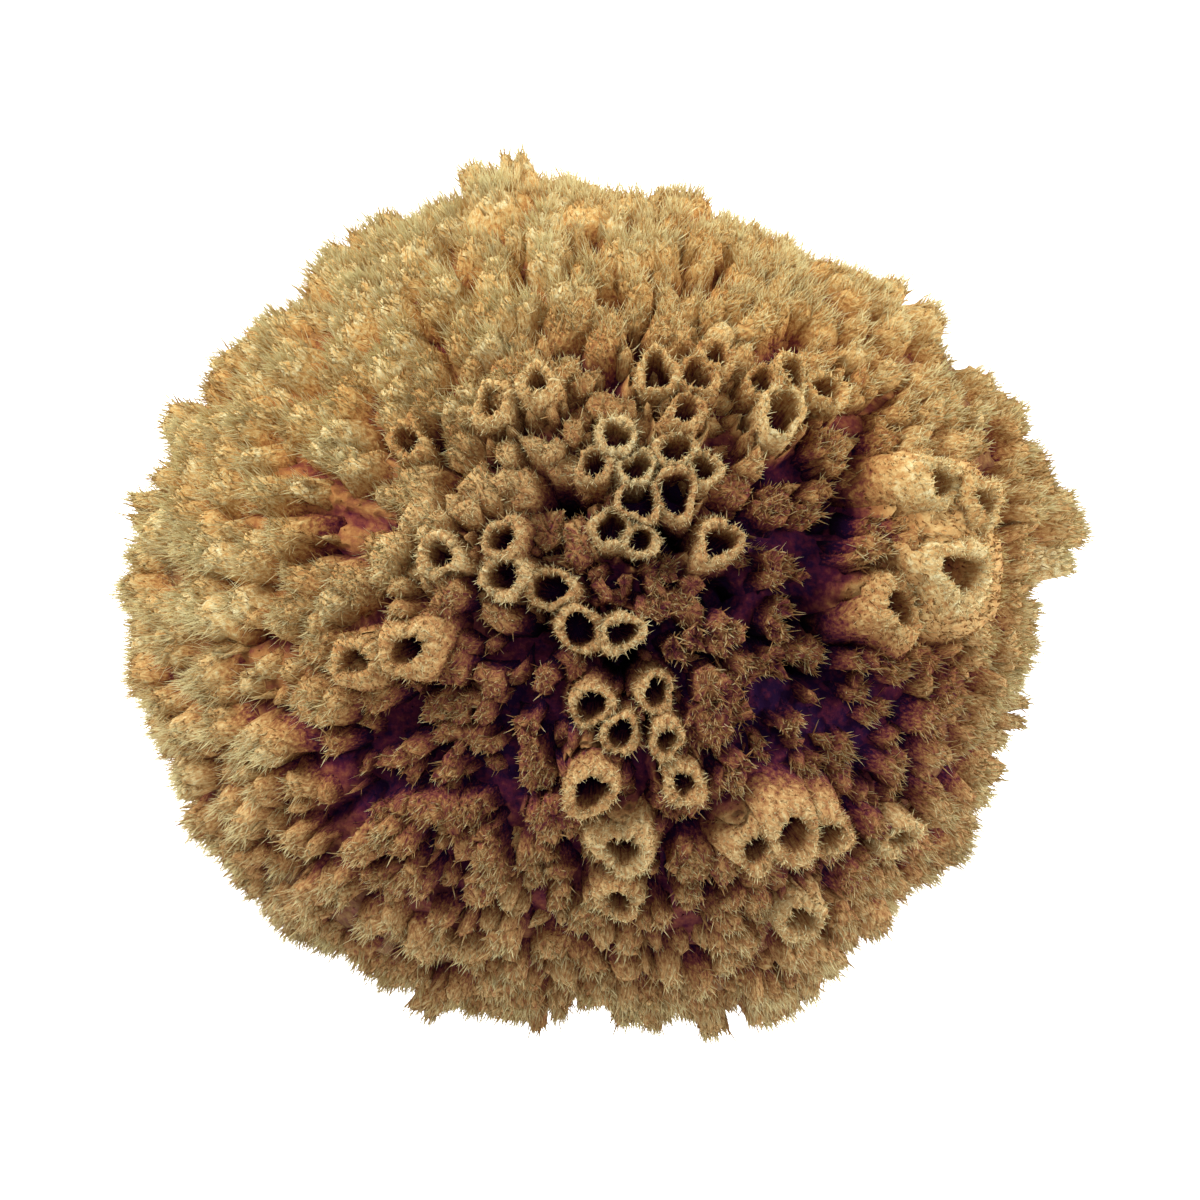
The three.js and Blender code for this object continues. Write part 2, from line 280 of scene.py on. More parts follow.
# Where the tufts of the limb stand out or back: azimuth and half width in degrees, millimetres.
LIMB = [
    (9.3, 3.5, 5), (35, 2.5, -4), (-1, 2, -3.5), (102, 3, 1.8), (90, 2, -2.5), (76, 3, 1.2),
    (51.5, 1.5, -1.5), (150, 2, -1.5), (128, 2, 1), (-92, 2, -2.5), (-66.5, 3, 2), (-119, 2, -1.8),
    (-141, 2.5, -1.5),
    (-22, 2, -1.5), (-35, 2, 1.2), (172, 3, 1), (-160, 2, -1), (-103, 2, 1.2),
]
LIMB_BAND = 0.4  # how far above and below the widest level this reaches


def standing_out(ways):
    """How much longer the tufts of the limb are in these directions."""
    azimuth = np.degrees(np.arctan2(ways[..., 1], ways[..., 0]))
    total = np.zeros(ways.shape[:-1])
    for middle, half, amount in LIMB:
        away = (azimuth - middle + 180) % 360 - 180
        total += amount * np.exp(-0.5 * (away / half) ** 2)
    return total * np.exp(-((ways[..., 2] / LIMB_BAND) ** 2))


# Chimneys with thin walls, and chimneys that stand in felt.
THIN_WALLED = spots([(12, 22, 12, 1), (-2, 4, 9, 0.8), (3, -17, 7, 0.8), (26, 26, 8, 0.8)])
FELTED = spots([(46, 8, 9, 1), (26, -33, 7, 0.7), (3, -34, 6, 0.5), (-28, -8, 7, 0.6), (12, 22, 12, 0.3)])

# The columns that a tuft is made of, one for each tip. Each ring: height as a share of the length,
# its width where the end is a brush and where it is an open cup, and its place in the finish.
COLUMN_SIDES = 8
COLUMN_RINGS = np.array([
    (-0.1, 1.8, 1.7, 0), (0.36, 1.3, 1.15, 0.33), (0.68, 1.05, 0.98, 0.62), (0.86, 1.0, 1.1, 0.75),
    (0.95, 0.8, 1.08, 0.8),
])
COLUMN_HAIR = np.array([0, 0, 0.08, 1.0, 2.0])  # share of the fibres at each ring
COLUMN_FUR = np.array([0, 0, 0.1, 1.0, 1.9])
COLUMN_RADIUS = (1.45, 2.2)
COLUMN_END = (0.97, 0.84)  # height of the middle of the end, on a brush and in a cup
END_ALONG = (0.8, 0.9)  # place in the finish of the middle of the end, on a brush and in a cup
LOBES = ((2, 0.3), (3, 0.22), (5, 0.12))  # bulges round a column, and the most that they stand out
TEETH = 0.55  # how much every other corner of an end stands out
RIM_TEETH = 0.5
# Fillers are lower columns between the tufts, most of them where the sponge is woolly.
FILLER_SIDES = 7
FILLER_RINGS = np.array([
    (-0.05, 1.7, 1.6, 0), (0.45, 1.15, 1.1, 0.4), (0.78, 1.0, 1.0, 0.68), (0.93, 0.75, 0.95, 0.78),
])
FILLER_HAIR = np.array([0, 0, 0.7, 1.9])
FILLER_FUR = np.array([0, 0, 0.8, 1.9])
FILLER_RADIUS = (1.1, 1.8)
FILLER_PLACES = 2600
FILLER_ROOM = 2.3  # least distance from a tuft's tip
# Strands are thin columns that fill the tufts of the woolly parts and of the limb.
STRAND_SIDES = 5
STRAND_RINGS = np.array([
    (-0.05, 1.3, 1.3, 0), (0.5, 0.95, 0.95, 0.42), (0.82, 0.65, 0.65, 0.72),
])
STRAND_HAIR = np.array([0, 0.5, 1.2])
STRAND_FUR = np.array([0, 0.5, 1.2])
STRAND_RADIUS = (0.4, 0.85)
STRANDS_MOST = 5
FRINGE_ROOM = 0.9  # how much of the tips' height is left to the fibres
TONES = 8  # strips of the finish, from dark to light
PAINTED_SHADE_POWER, PAINTED_SHADE_FALL = 2.1, 1.7  # painted shade: how fast the colours darken down a column towards its roots, least in light strips
TOP_LEVEL = 0.78
TONE_STEP = 0.3
SINK = 0.6  # how much shorter a tuft of the open parts can be
COLUMN_DRAW = {"shade": 21, "sunk": 22, "short": 24, "stout": 31}  # uses of the numbers from chance
COLLAR = 6  # small columns round each chimney
COLLAR_RADIUS = 1.15
COLLAR_HEIGHT = (0.62, 0.9)  # height of the felt between chimneys, as a share of theirs
MOUTH = 1.12  # width of a visible mouth, as a share of the stated one
CHIMNEY_RISE = 0.3  # how much a chimney turns up from the way that the tufts grow
CHIMNEY_STRAY = 0.12  # and how much it turns any way

rng = np.random.default_rng(7)

chimney_tops = place(chimney_ways, tuft_length(chimney_ways) + CHIMNEYS[:, 3] - FRINGE_ROOM)
chimney_stray = rng.uniform(-CHIMNEY_STRAY, CHIMNEY_STRAY, (len(CHIMNEYS), 3))
chimney_axes = unit(growth(chimney_ways) + [0, 0, CHIMNEY_RISE] + chimney_stray)


def clear_of_holes(tops, radius):
    """Which of these tips are in no chimney and no gap."""
    clear = np.ones(len(tops), bool)
    for centre, axis, mouth in zip(chimney_tops, chimney_axes, CHIMNEYS[:, 2] * MOUTH):
        away = tops - centre
        along = away @ axis
        across = np.linalg.norm(away - along[:, None] * axis, axis=1)
        clear &= (across > mouth + 0.3 + 0.6 * radius) | (along < -8)
    for way, gap in zip(gap_ways, GAPS[:, 2]):
        centre = place(way[None], tuft_length(way[None]))[0]
        clear &= np.linalg.norm(tops[:, :2] - centre[:2], axis=1) > gap * 0.9
    return clear


def lobed(count, sides, lobes):
    """Uneven round outlines: the radius at each side, for each of count outlines."""
    radius = np.ones((count, sides))
    for waves, most in lobes:
        size = rng.uniform(0.25, 1, (count, 1)) * most
        radius += size * np.cos(waves * (turns(sides) + rng.uniform(0, 2 * np.pi, (count, 1))))
    return radius


def around(middles, side, up, across):
    """Points round these middles, this far out at each side of each ring."""
    turn = turns(across.shape[-1])
    points = middles + side[:, None, None] * (across * np.cos(turn))[..., None]
    return points + up[:, None, None] * (across * np.sin(turn))[..., None]


def add_object(name, data):
    made = bpy.data.objects.new(name, data)
    bpy.context.scene.collection.objects.link(made)
    return made


def store_fact(mesh, name, values):
    """Stores a number or a vector for each vertex, as an attribute with this name."""
    is_vector = values.ndim > 1 and values.shape[-1] == 3
    kind, key = ("FLOAT_VECTOR", "vector") if is_vector else ("FLOAT", "value")
    layer = mesh.attributes.new(name, kind, "POINT")
    layer.data.foreach_set(key, values.reshape(-1).astype(np.float32))


def tube_faces(sides, rings):
    """Triangles of a tube with a point at each end. Each corner: vertex, side round, ring along."""
    faces = []
    first, last = rings * sides, rings * sides + 1
    for side in range(sides):
        near, far = side, (side + 1) % sides
        faces.append([(far, side + 1, 0), (near, side, 0), (first, side + 0.5, 0)])
        for ring in range(rings - 1):
            a, b = ring * sides + near, ring * sides + far
            c, d = a + sides, b + sides
            faces.append([(a, side, ring), (b, side + 1, ring), (d, side + 1, ring + 1)])
            faces.append([(a, side, ring), (d, side + 1, ring + 1), (c, side, ring + 1)])
        top = (rings - 1) * sides
        faces.append([(top + near, side, rings - 1), (top + far, side + 1, rings - 1),
                      (last, side + 0.5, rings)])
    return np.array(faces)


def tubes(name, points, ends, along, end_along, tones, facts):
    """One mesh of many tubes. points: tube, ring, side. ends: tube, end. facts: per tube and ring."""
    count, rings, sides = points.shape[:3]
    size = rings * sides + 2
    template = tube_faces(sides, rings)
    corner = template[..., 0].astype(int)
    faces = (np.arange(count)[:, None, None] * size + corner).reshape(-1, 3)
    vertices = np.concatenate([points.reshape(count, -1, 3), ends], 1).reshape(-1, 3)
    mesh = bpy.data.meshes.new(name)
    mesh.from_pydata((vertices * MM).tolist(), [], faces.tolist())
    v = np.where(
        template[..., 2] == rings, end_along[:, None, None],
        np.append(along, 0)[template[..., 2].astype(int)],
    )
    u = (tones[:, None, None] + template[None, ..., 1] / sides) / TONES
    uv = np.stack([u, np.broadcast_to(v, u.shape)], -1).reshape(-1)
    mesh.uv_layers.new(name="OFBake").data.foreach_set("uv", uv.astype(np.float32))
    for fact, (rows, bottom, top) in facts.items():
        values = np.repeat(rows[:, :, None], sides, 2).reshape(count, rings * sides, -1)
        values = np.concatenate([values, bottom.reshape(count, 1, -1), top.reshape(count, 1, -1)], 1)
        store_fact(mesh, fact, values)
    mesh.shade_smooth()
    return add_object(name, mesh)


def cut_flat(piece, level):
    """Cuts the piece off flat at this height, and closes it there."""
    form = bmesh.new()
    form.from_mesh(piece.data)
    everything = form.verts[:] + form.edges[:] + form.faces[:]
    cut = bmesh.ops.bisect_plane(
        form, geom=everything, plane_co=(0, 0, level * MM), plane_no=(0, 0, 1), clear_inner=True
    )
    rim = [edge for edge in cut["geom_cut"] if isinstance(edge, bmesh.types.BMEdge)]
    bmesh.ops.holes_fill(form, edges=rim, sides=0)
    bmesh.ops.triangulate(form, faces=[face for face in form.faces if len(face.verts) > 3])
    form.to_mesh(piece.data)
    form.free()


def frames(axes):
    """Two directions square to each axis, and to each other."""
    helper = np.where(np.abs(axes[:, 2:]) > 0.95, [[0.0, 1.0, 0.0]], [[0.0, 0.0, 1.0]])
    side = unit(np.cross(helper, axes))
    return side, np.cross(axes, side)


def tuft_columns():
    """The columns of the tufts: number of the tuft, its way, foot and tip beside it, length, radius."""
    index, ways = tuft_middles()
    share = chance(index, DRAW["tips"])
    counts = np.where(share < SINGLE_SHARE, 1, np.where(share < SINGLE_SHARE + PAIR_SHARE, 2, 3))
    owner = np.repeat(np.arange(len(index)), counts)
    number = np.concatenate([np.arange(count) for count in counts])
    count, turn = counts[owner], chance(index, DRAW["turn"])[owner]
    angle = (turn + number / count) * 2 * np.pi
    out = np.where(count == 1, 0, TIP_SPREAD) * rng.uniform(0.65, 1.05, len(owner))
    tip = np.column_stack([out * np.cos(angle), out * np.sin(angle)])
    length = tuft_length(ways) * (SHORTEST + (1 - SHORTEST) * chance(index, DRAW["length"]))
    length = length[owner] * (1 - TIP_STEP * chance(index[owner], DRAW["tip"] + number))
    radius = rng.uniform(*COLUMN_RADIUS, len(owner)) * np.where(count == 1, 1.2, 1)
    return owner, ways[owner], tip, length, radius


def collar_columns():
    """Small columns that stand close round the chimneys."""
    angle = (np.arange(COLLAR) + 0.5) / COLLAR * 2 * np.pi
    ways, length, owner = [], [], []
    for number, (way, mouth, rise) in enumerate(zip(chimney_ways, CHIMNEYS[:, 2], CHIMNEYS[:, 3])):
        turned = angle + number
        away = mouth + CHIMNEY_WALL + rng.uniform(0.2, 1.2, COLLAR)
        here = beside(np.repeat(way[None], COLLAR, 0), away * np.cos(turned), away * np.sin(turned))
        free = rng.uniform(0, 1, COLLAR) < 0.85 - 0.35 * min(1, spread(way, PAINTED_SHADE_SPOTS) + spread(way, OPEN))
        free &= outside(here, 1.0, 0)
        ways.append(here[free])
        length.append((tuft_length(here) + rise)[free] * rng.uniform(0.72, 0.96, free.sum()))
        owner.append(np.full(free.sum(), PLACES + number))
    ways = np.concatenate(ways)
    radius = COLLAR_RADIUS * rng.uniform(0.8, 1.25, len(ways))
    return np.concatenate(owner), ways, np.zeros((len(ways), 2)), np.concatenate(length), radius


def filler_columns(tufts):
    """Lower columns, in the room that the tufts leave."""
    index = np.arange(FILLER_PLACES)
    ways = beside(even_ways(FILLER_PLACES, 1), *rng.uniform(-1.2, 1.2, (2, FILLER_PLACES)))
    _, tuft_ways, tip, _, _ = tufts
    tips = beside(tuft_ways, *tip.T)
    amount = 0.75 + 0.5 * spread(ways, WOOLLY) + 0.3 * limb_of(ways) - 0.45 * at_most_one(ways, OPEN)
    free = rng.uniform(0, 1, FILLER_PLACES) < amount
    free &= place(ways, np.zeros(FILLER_PLACES))[:, 2] >= -tuft_length(ways)
    nearest = np.full(FILLER_PLACES, 9.0)
    for way in tips:
        nearest = np.minimum(nearest, apart(ways, way))
    free &= nearest > FILLER_ROOM * (1 - 0.3 * np.clip(0.3 - ways[:, 2] / 0.4, 0, 1))
    free &= outside(ways, CHIMNEY_WALL + 0.8, 0.5)
    index, ways = index[free], ways[free]
    count = len(index)
    length = tuft_length(ways) * (rng.uniform(0.62, 0.9, count) - 0.1 * limb_of(ways))
    return index + 2 * PLACES, ways, np.zeros((count, 2)), length, rng.uniform(*FILLER_RADIUS, count)


def strand_columns():
    """Thin columns beside the tufts, where the sponge is woolly or turns away from the top."""
    index, ways = tuft_middles()
    amount = np.clip(0.2 * spread(ways, WOOLLY) + 0.8 * limb_of(ways), 0, 1) * STRANDS_MOST
    amount *= 1 - 0.35 * under_of(ways)
    counts = (amount + rng.uniform(0, 1, len(index))).astype(int)
    owner = np.repeat(np.arange(len(index)), counts)
    count = len(owner)
    angle, away = rng.uniform(0, 2 * np.pi, count), rng.uniform(1.2, 2.9, count)
    tip = np.column_stack([away * np.cos(angle), away * np.sin(angle)])
    length = (tuft_length(ways) * (SHORTEST + (1 - SHORTEST) * chance(index, DRAW["length"])))[owner]
    length = length * rng.uniform(0.7, 1.06, count)
    return owner, ways[owner], tip, length, rng.uniform(*STRAND_RADIUS, count)


def lit(height, tones):
    """Place among the colours, from the height on a column and its tone, as in tuft_material: painted shade
    that darkens a column down towards its roots.
    """
    tone = tones / TONES
    return height ** (PAINTED_SHADE_POWER - PAINTED_SHADE_FALL * tone) * TOP_LEVEL + (tone - 0.5) * TONE_STEP


def make_columns(name, rings_table, hairs, furs, sides, columns, teeth):
    """One piece of many columns, each shaped and toned by where it stands."""
    owner, ways, tip, length, radius = columns
    limb = limb_of(ways)
    sunk = at_most_one(ways, OPEN) * chance(owner, COLUMN_DRAW["sunk"]) ** 1.5 * SINK
    short = (rng.uniform(0, 1, len(ways)) ** 2 * 3 + chance(owner, COLUMN_DRAW["short"]) ** 2 * 4) * limb
    length = length * (1 - sunk) - FRINGE_ROOM * (1 + 0.6 * limb) - short + standing_out(ways)
    lean = rng.uniform(-0.8, 0.8, (len(ways), 2)) * (1 + 0.5 * limb[:, None])
    foot_ways = beside(ways, *(tip * 0.8).T)
    tip_ways = beside(ways, *(tip + lean).T)
    foot, top = place(foot_ways, length * -0.1), place(tip_ways, length)
    clear = clear_of_holes(top, radius) & (into_slots(tip_ways) + 0.8 * radius < 0)
    owner, ways, radius, limb = owner[clear], ways[clear], radius[clear], limb[clear]
    foot, top, sunk = foot[clear], top[clear], sunk[clear]
    count, rings = len(ways), len(rings_table)
    wool, bare = spread(ways, WOOLLY), at_most_one(ways, OPEN)
    mass = at_most_one(ways, MASSES)
    soft = np.clip(wool + 0.6 * limb + mass - 0.9 * bare, 0, 1)
    under = under_of(ways)
    stout = np.where(chance(owner, COLUMN_DRAW["stout"]) > 0.7, 0.35, -0.06) * (1 - 0.5 * wool)
    radius = radius * (1 + 0.45 * np.minimum(wool, 1) + 0.35 * under - 0.14 * bare + stout)
    below = 1 - 0.35 * under
    axis = unit(top - foot)
    side, up = frames(axis)
    heights, brush, cup, along = rings_table.T
    open_end = np.clip(rng.uniform(-1.5, 0.9, count) + 0.6 * bare - 1.2 * limb - 0.9 * wool, 0, 1)
    width = brush + (cup - brush) * open_end[:, None]
    slim = (0.3 + 0.3 * limb) * soft * (1 - open_end)
    width = width * (1 - slim[:, None] * np.linspace(0, 1, rings) ** 2)
    outlines = lobed(count, sides, LOBES)
    outlines = 1 + (outlines - 1) * (1 + 0.6 * bare - 0.3 * soft)[:, None]
    across = radius[:, None, None] * width[:, :, None] * outlines[:, None, :]
    across = across * rng.uniform(0.85, 1.15, across.shape)
    share = (heights - heights[0]) / (1 - heights[0])
    bow = rng.uniform(-0.9, 0.9, (count, 2))
    bend = (share * (1 - share) * 4)[None, :, None]
    spine = foot[:, None] + (top - foot)[:, None] * share[None, :, None]
    spine = spine + bend * (side * bow[:, :1] + up * bow[:, 1:])[:, None]
    points = around(spine[:, :, None], side, up, across)
    pointed = np.where(np.arange(sides) % 2, 1, -1) * rng.uniform(0, 1.4, (count, rings, sides))
    uneven = rng.uniform(-1, 1, across.shape) * RIM_TEETH + pointed * teeth
    uneven = uneven * (1 + 0.25 * bare)[:, None, None]
    at_end = (np.arange(rings) >= rings - 2) * np.linspace(0.4, 1, rings)
    uneven = uneven * at_end[None, :, None] * (1 - 0.6 * soft)[:, None, None]
    points = points + axis[:, None, None] * uneven[..., None]
    brush_end, cup_end = COLUMN_END
    end = brush_end + (cup_end - brush_end) * open_end + 0.04 * soft
    ends = np.stack([foot - axis * 0.5, foot + (top - foot) * end[:, None]], 1)
    # Tone of each column: random for each tuft and column, with painted light and shade on top. Painted light
    # makes the limb and the woolly parts lighter; painted shade darkens the open and dim parts, the -y side,
    # the underside and sunk tufts. Felt masses are lighter.
    own = chance(owner, COLUMN_DRAW["shade"]) - 0.5
    shade = 0.42 + 0.2 * wool - 0.24 * bare + 0.38 * limb + rng.uniform(-0.08, 0.08, count)
    shade += (0.22 + 0.34 * bare) * own + 0.2 * mass - 0.66 * at_most_one(ways, PAINTED_SHADE_SPOTS)
    shade -= 0.2 * np.clip(-ways[:, 1] - 0.1, 0, 1) + 0.22 * under + sunk
    tones = np.clip(shade * TONES, 0, TONES - 1).astype(int)
    ones = np.ones(count)
    hair = (0.9 + 0.9 * limb + 0.5 * np.minimum(wool, 1) + 0.45 * bare) * MM
    furry = np.clip(wool, 0, 1) + 0.6 * np.exp(-((ways[:, 2] / 0.35) ** 2)) * (1 - np.clip(wool, 0, 1))
    furry = furry * below
    facts = {
        "fringe": (hairs * below[:, None], 0 * ones, below * hairs[-1] * (1 - 0.4 * open_end)),
        "grain": (np.repeat(axis[:, None, :], rings, 1), axis, axis),
        "hair": (hair[:, None] * np.linspace(0.6, 1.1, rings), hair, hair),
        # Painted shade: darker down each column towards its roots, and an open cup's end darker than a
        # brush's.
        "level": (lit((along / 0.8).clip(0, 1)[None, :], tones[:, None]), 0 * ones,
                  lit(1 - 0.3 * open_end, tones)),
        "fur": (furs * furry[:, None], 0 * ones, furs[-1] * furry),
    }
    end_along = END_ALONG[0] + (END_ALONG[1] - END_ALONG[0]) * open_end
    piece = tubes(name, points, ends, along, end_along, tones, facts)
    cut_flat(piece, 0.05)
    return piece


# A chimney's rings, from the foot up the outside, over the rim and down the hole. Each: distance
# down from the rim, shares of the wall and of the mouth that make its radius, place in the finish.
CHIMNEY_SIDES = 24
CHIMNEY_RINGS = np.array([
    (15, 1.7, 1, 0), (9, 1.3, 1, 0.3), (5, 1.1, 1, 0.55), (2.4, 1.0, 1.02, 0.7),
    (0.7, 0.9, 1.06, 0.78), (0, 0.5, 1.06, 0.8), (0.5, 0.06, 1.04, 0.82), (1.7, 0, 1.0, 0.86),
    (3.6, 0, 0.95, 0.91), (6, 0, 0.88, 0.96), (10, 0, 0.7, 1),
])
FELT_FLARE = np.array([2, 1.7, 1.2, 0.6, 0.1, 0, 0, 0, 0, 0, 0])  # added to a felted wall's share
CHIMNEY_HAIR = np.array([0, 0.02, 0.4, 1.0, 1.8, 2.4, 2.2, 0.4, 0.1, 0, 0])  # fibres at each ring
SHARED = 0.35  # how far the walls of neighbours overlap
CHIMNEY_LENGTHS = np.array([1, 1, 1, 1.1, 1.2, 1.1, 0.8, 0.6, 0.5, 0.4, 0.4])
CHIMNEY_LIGHT = np.array([0, 0.37, 0.68, 0.87, 0.97, 1, 0.95, 0.7, 0.42, 0.15, 0])
MOUTH_LOBES = ((2, 0.2), (3, 0.14), (5, 0.07))
WALL_LOBES = ((2, 0.25), (3, 0.3), (4, 0.2))
WALLS = (1.1, 0.55)  # share of the wall, thick and thin
RIM_LEAN = 0.9  # most that one side of a rim stands over the other
RIM_NOTCH = 0.75  # depth of its notches
FAR_APART = 16  # chimneys farther apart than this don't touch


def room_beside(ways, mouth):
    """How far each chimney may reach in these directions, up to its neighbours' walls."""
    room = np.full(ways.shape[:2], 99.0)
    for number, centre in enumerate(chimney_tops):
        for other, far in enumerate(chimney_tops):
            between = far - centre
            gap = np.linalg.norm(between)
            if other == number or gap > FAR_APART:
                continue
            toward = np.maximum(1e-3, ways[number] @ (between / gap))
            share = (mouth[number] + 0.6) / (mouth[number] + mouth[other] + 1.2)
            room[number] = np.minimum(room[number], (gap * share + SHARED) / toward)
    return room


def make_chimneys():
    count, rings = len(CHIMNEYS), len(CHIMNEY_RINGS)
    mouth = CHIMNEYS[:, 2] * MOUTH
    top, axis = chimney_tops, chimney_axes
    side, up = frames(axis)
    down, wall, hole, along = CHIMNEY_RINGS.T
    thin, felted, bare, dim = (
        at_most_one(chimney_ways, places) for places in (THIN_WALLED, FELTED, OPEN, PAINTED_SHADE_SPOTS)
    )
    thick = CHIMNEY_WALL * (WALLS[0] + (WALLS[1] - WALLS[0]) * thin + 0.2 * felted)[:, None, None]
    wall = wall + FELT_FLARE * felted[:, None]
    outlines = lobed(count, CHIMNEY_SIDES, MOUTH_LOBES)[:, None, :]
    walls = lobed(count, CHIMNEY_SIDES, WALL_LOBES)[:, None, :] * thick
    across = mouth[:, None, None] * hole[None, :, None] * outlines + wall[:, :, None] * walls
    across = across * rng.uniform(0.94, 1.06, across.shape)
    turn = turns(CHIMNEY_SIDES)
    ways = side[:, None] * np.cos(turn)[:, None] + up[:, None] * np.sin(turn)[:, None]
    outer = np.minimum(across, room_beside(ways, mouth)[:, None, :])
    least = mouth[:, None, None] * hole[None, :, None] * outlines + 0.3
    across = np.where(wall[:, :, None] > 0.1, np.maximum(outer, least), across)
    at_rim = np.isin(down, (0.7, 0, 0.5))[None, :, None]
    pointed = np.where(np.arange(CHIMNEY_SIDES) % 2, 1, -1) * rng.uniform(0, 1, (count, 1, CHIMNEY_SIDES))
    lean = np.cos(turn + rng.uniform(0, 2 * np.pi, (count, 1, 1))) * rng.uniform(0.3, 1, (count, 1, 1))
    near = np.clip(1 - down / 8, 0, 1)[None, :, None]
    notch = pointed * RIM_NOTCH * at_rim + lean * RIM_LEAN * near - 0.3
    drop = notch - down[None, :, None]
    points = around(top[:, None, None] + axis[:, None, None] * drop[..., None], side, up, across)
    ends = np.stack([top - axis * down[0], top - axis * (down[-1] + 1)], 1)
    # Tone of each chimney: random, lighter where felted, and darkened as painted shade in the open and dim
    # parts.
    shade = 0.68 - 0.08 * bare - 0.1 * dim + 0.12 * felted + rng.uniform(-0.12, 0.12, count)
    tones = np.clip(shade * TONES, 0, TONES - 1).astype(int)
    ones = np.ones(count)
    facts = {
        "fringe": (CHIMNEY_HAIR + 0.5 * (FELT_FLARE > 0.5) * felted[:, None], 0 * ones, 0 * ones),
        "grain": (np.repeat(axis[:, None, :], rings, 1), axis, axis),
        "hair": (ones[:, None] * CHIMNEY_LENGTHS * MM, MM * ones, MM * ones),
        "level": (lit(CHIMNEY_LIGHT[None, :], tones[:, None]), 0 * ones, 0 * ones),
    }
    return tubes("chimneys", points, ends, along, ones, tones, facts)


# The felted body under the tufts, as a grid of rings from the middle of the cut up to the crown.
BODY_SEGMENTS = 200
CUT_RINGS = 30
DOME_RINGS = 76
CUT_REACH = 50  # about how far the cut reaches from the middle
BESIDE_POLE = 1e-4  # a direction straight up or down has no side, so the two poles are a little off


def canals():
    index = np.arange(CANALS)
    radius, depth = (
        low + (high - low) * chance(index, DRAW[name])
        for (low, high), name in ((CANAL_RADIUS, "canal_radius"), (CANAL_DEPTH, "canal_depth"))
    )
    away = CANAL_RING * np.sqrt((index + 1) / CANALS)
    angle = index * GOLDEN_ANGLE
    return np.column_stack([away * np.cos(angle), away * np.sin(angle)]), radius, depth


def ripple(points, size, salt):
    """Smooth uneven waves between -1 and 1, about size millimetres long."""
    total = np.zeros(points.shape[:-1])
    for number in range(5):
        way = unit(np.array([chance(number, salt + step) - 0.5 for step in (0, 1, 2)]))
        total += np.sin(points @ way * 2 * np.pi / size * (0.8 + 0.1 * number) + number * 2.4)
    return total / 5


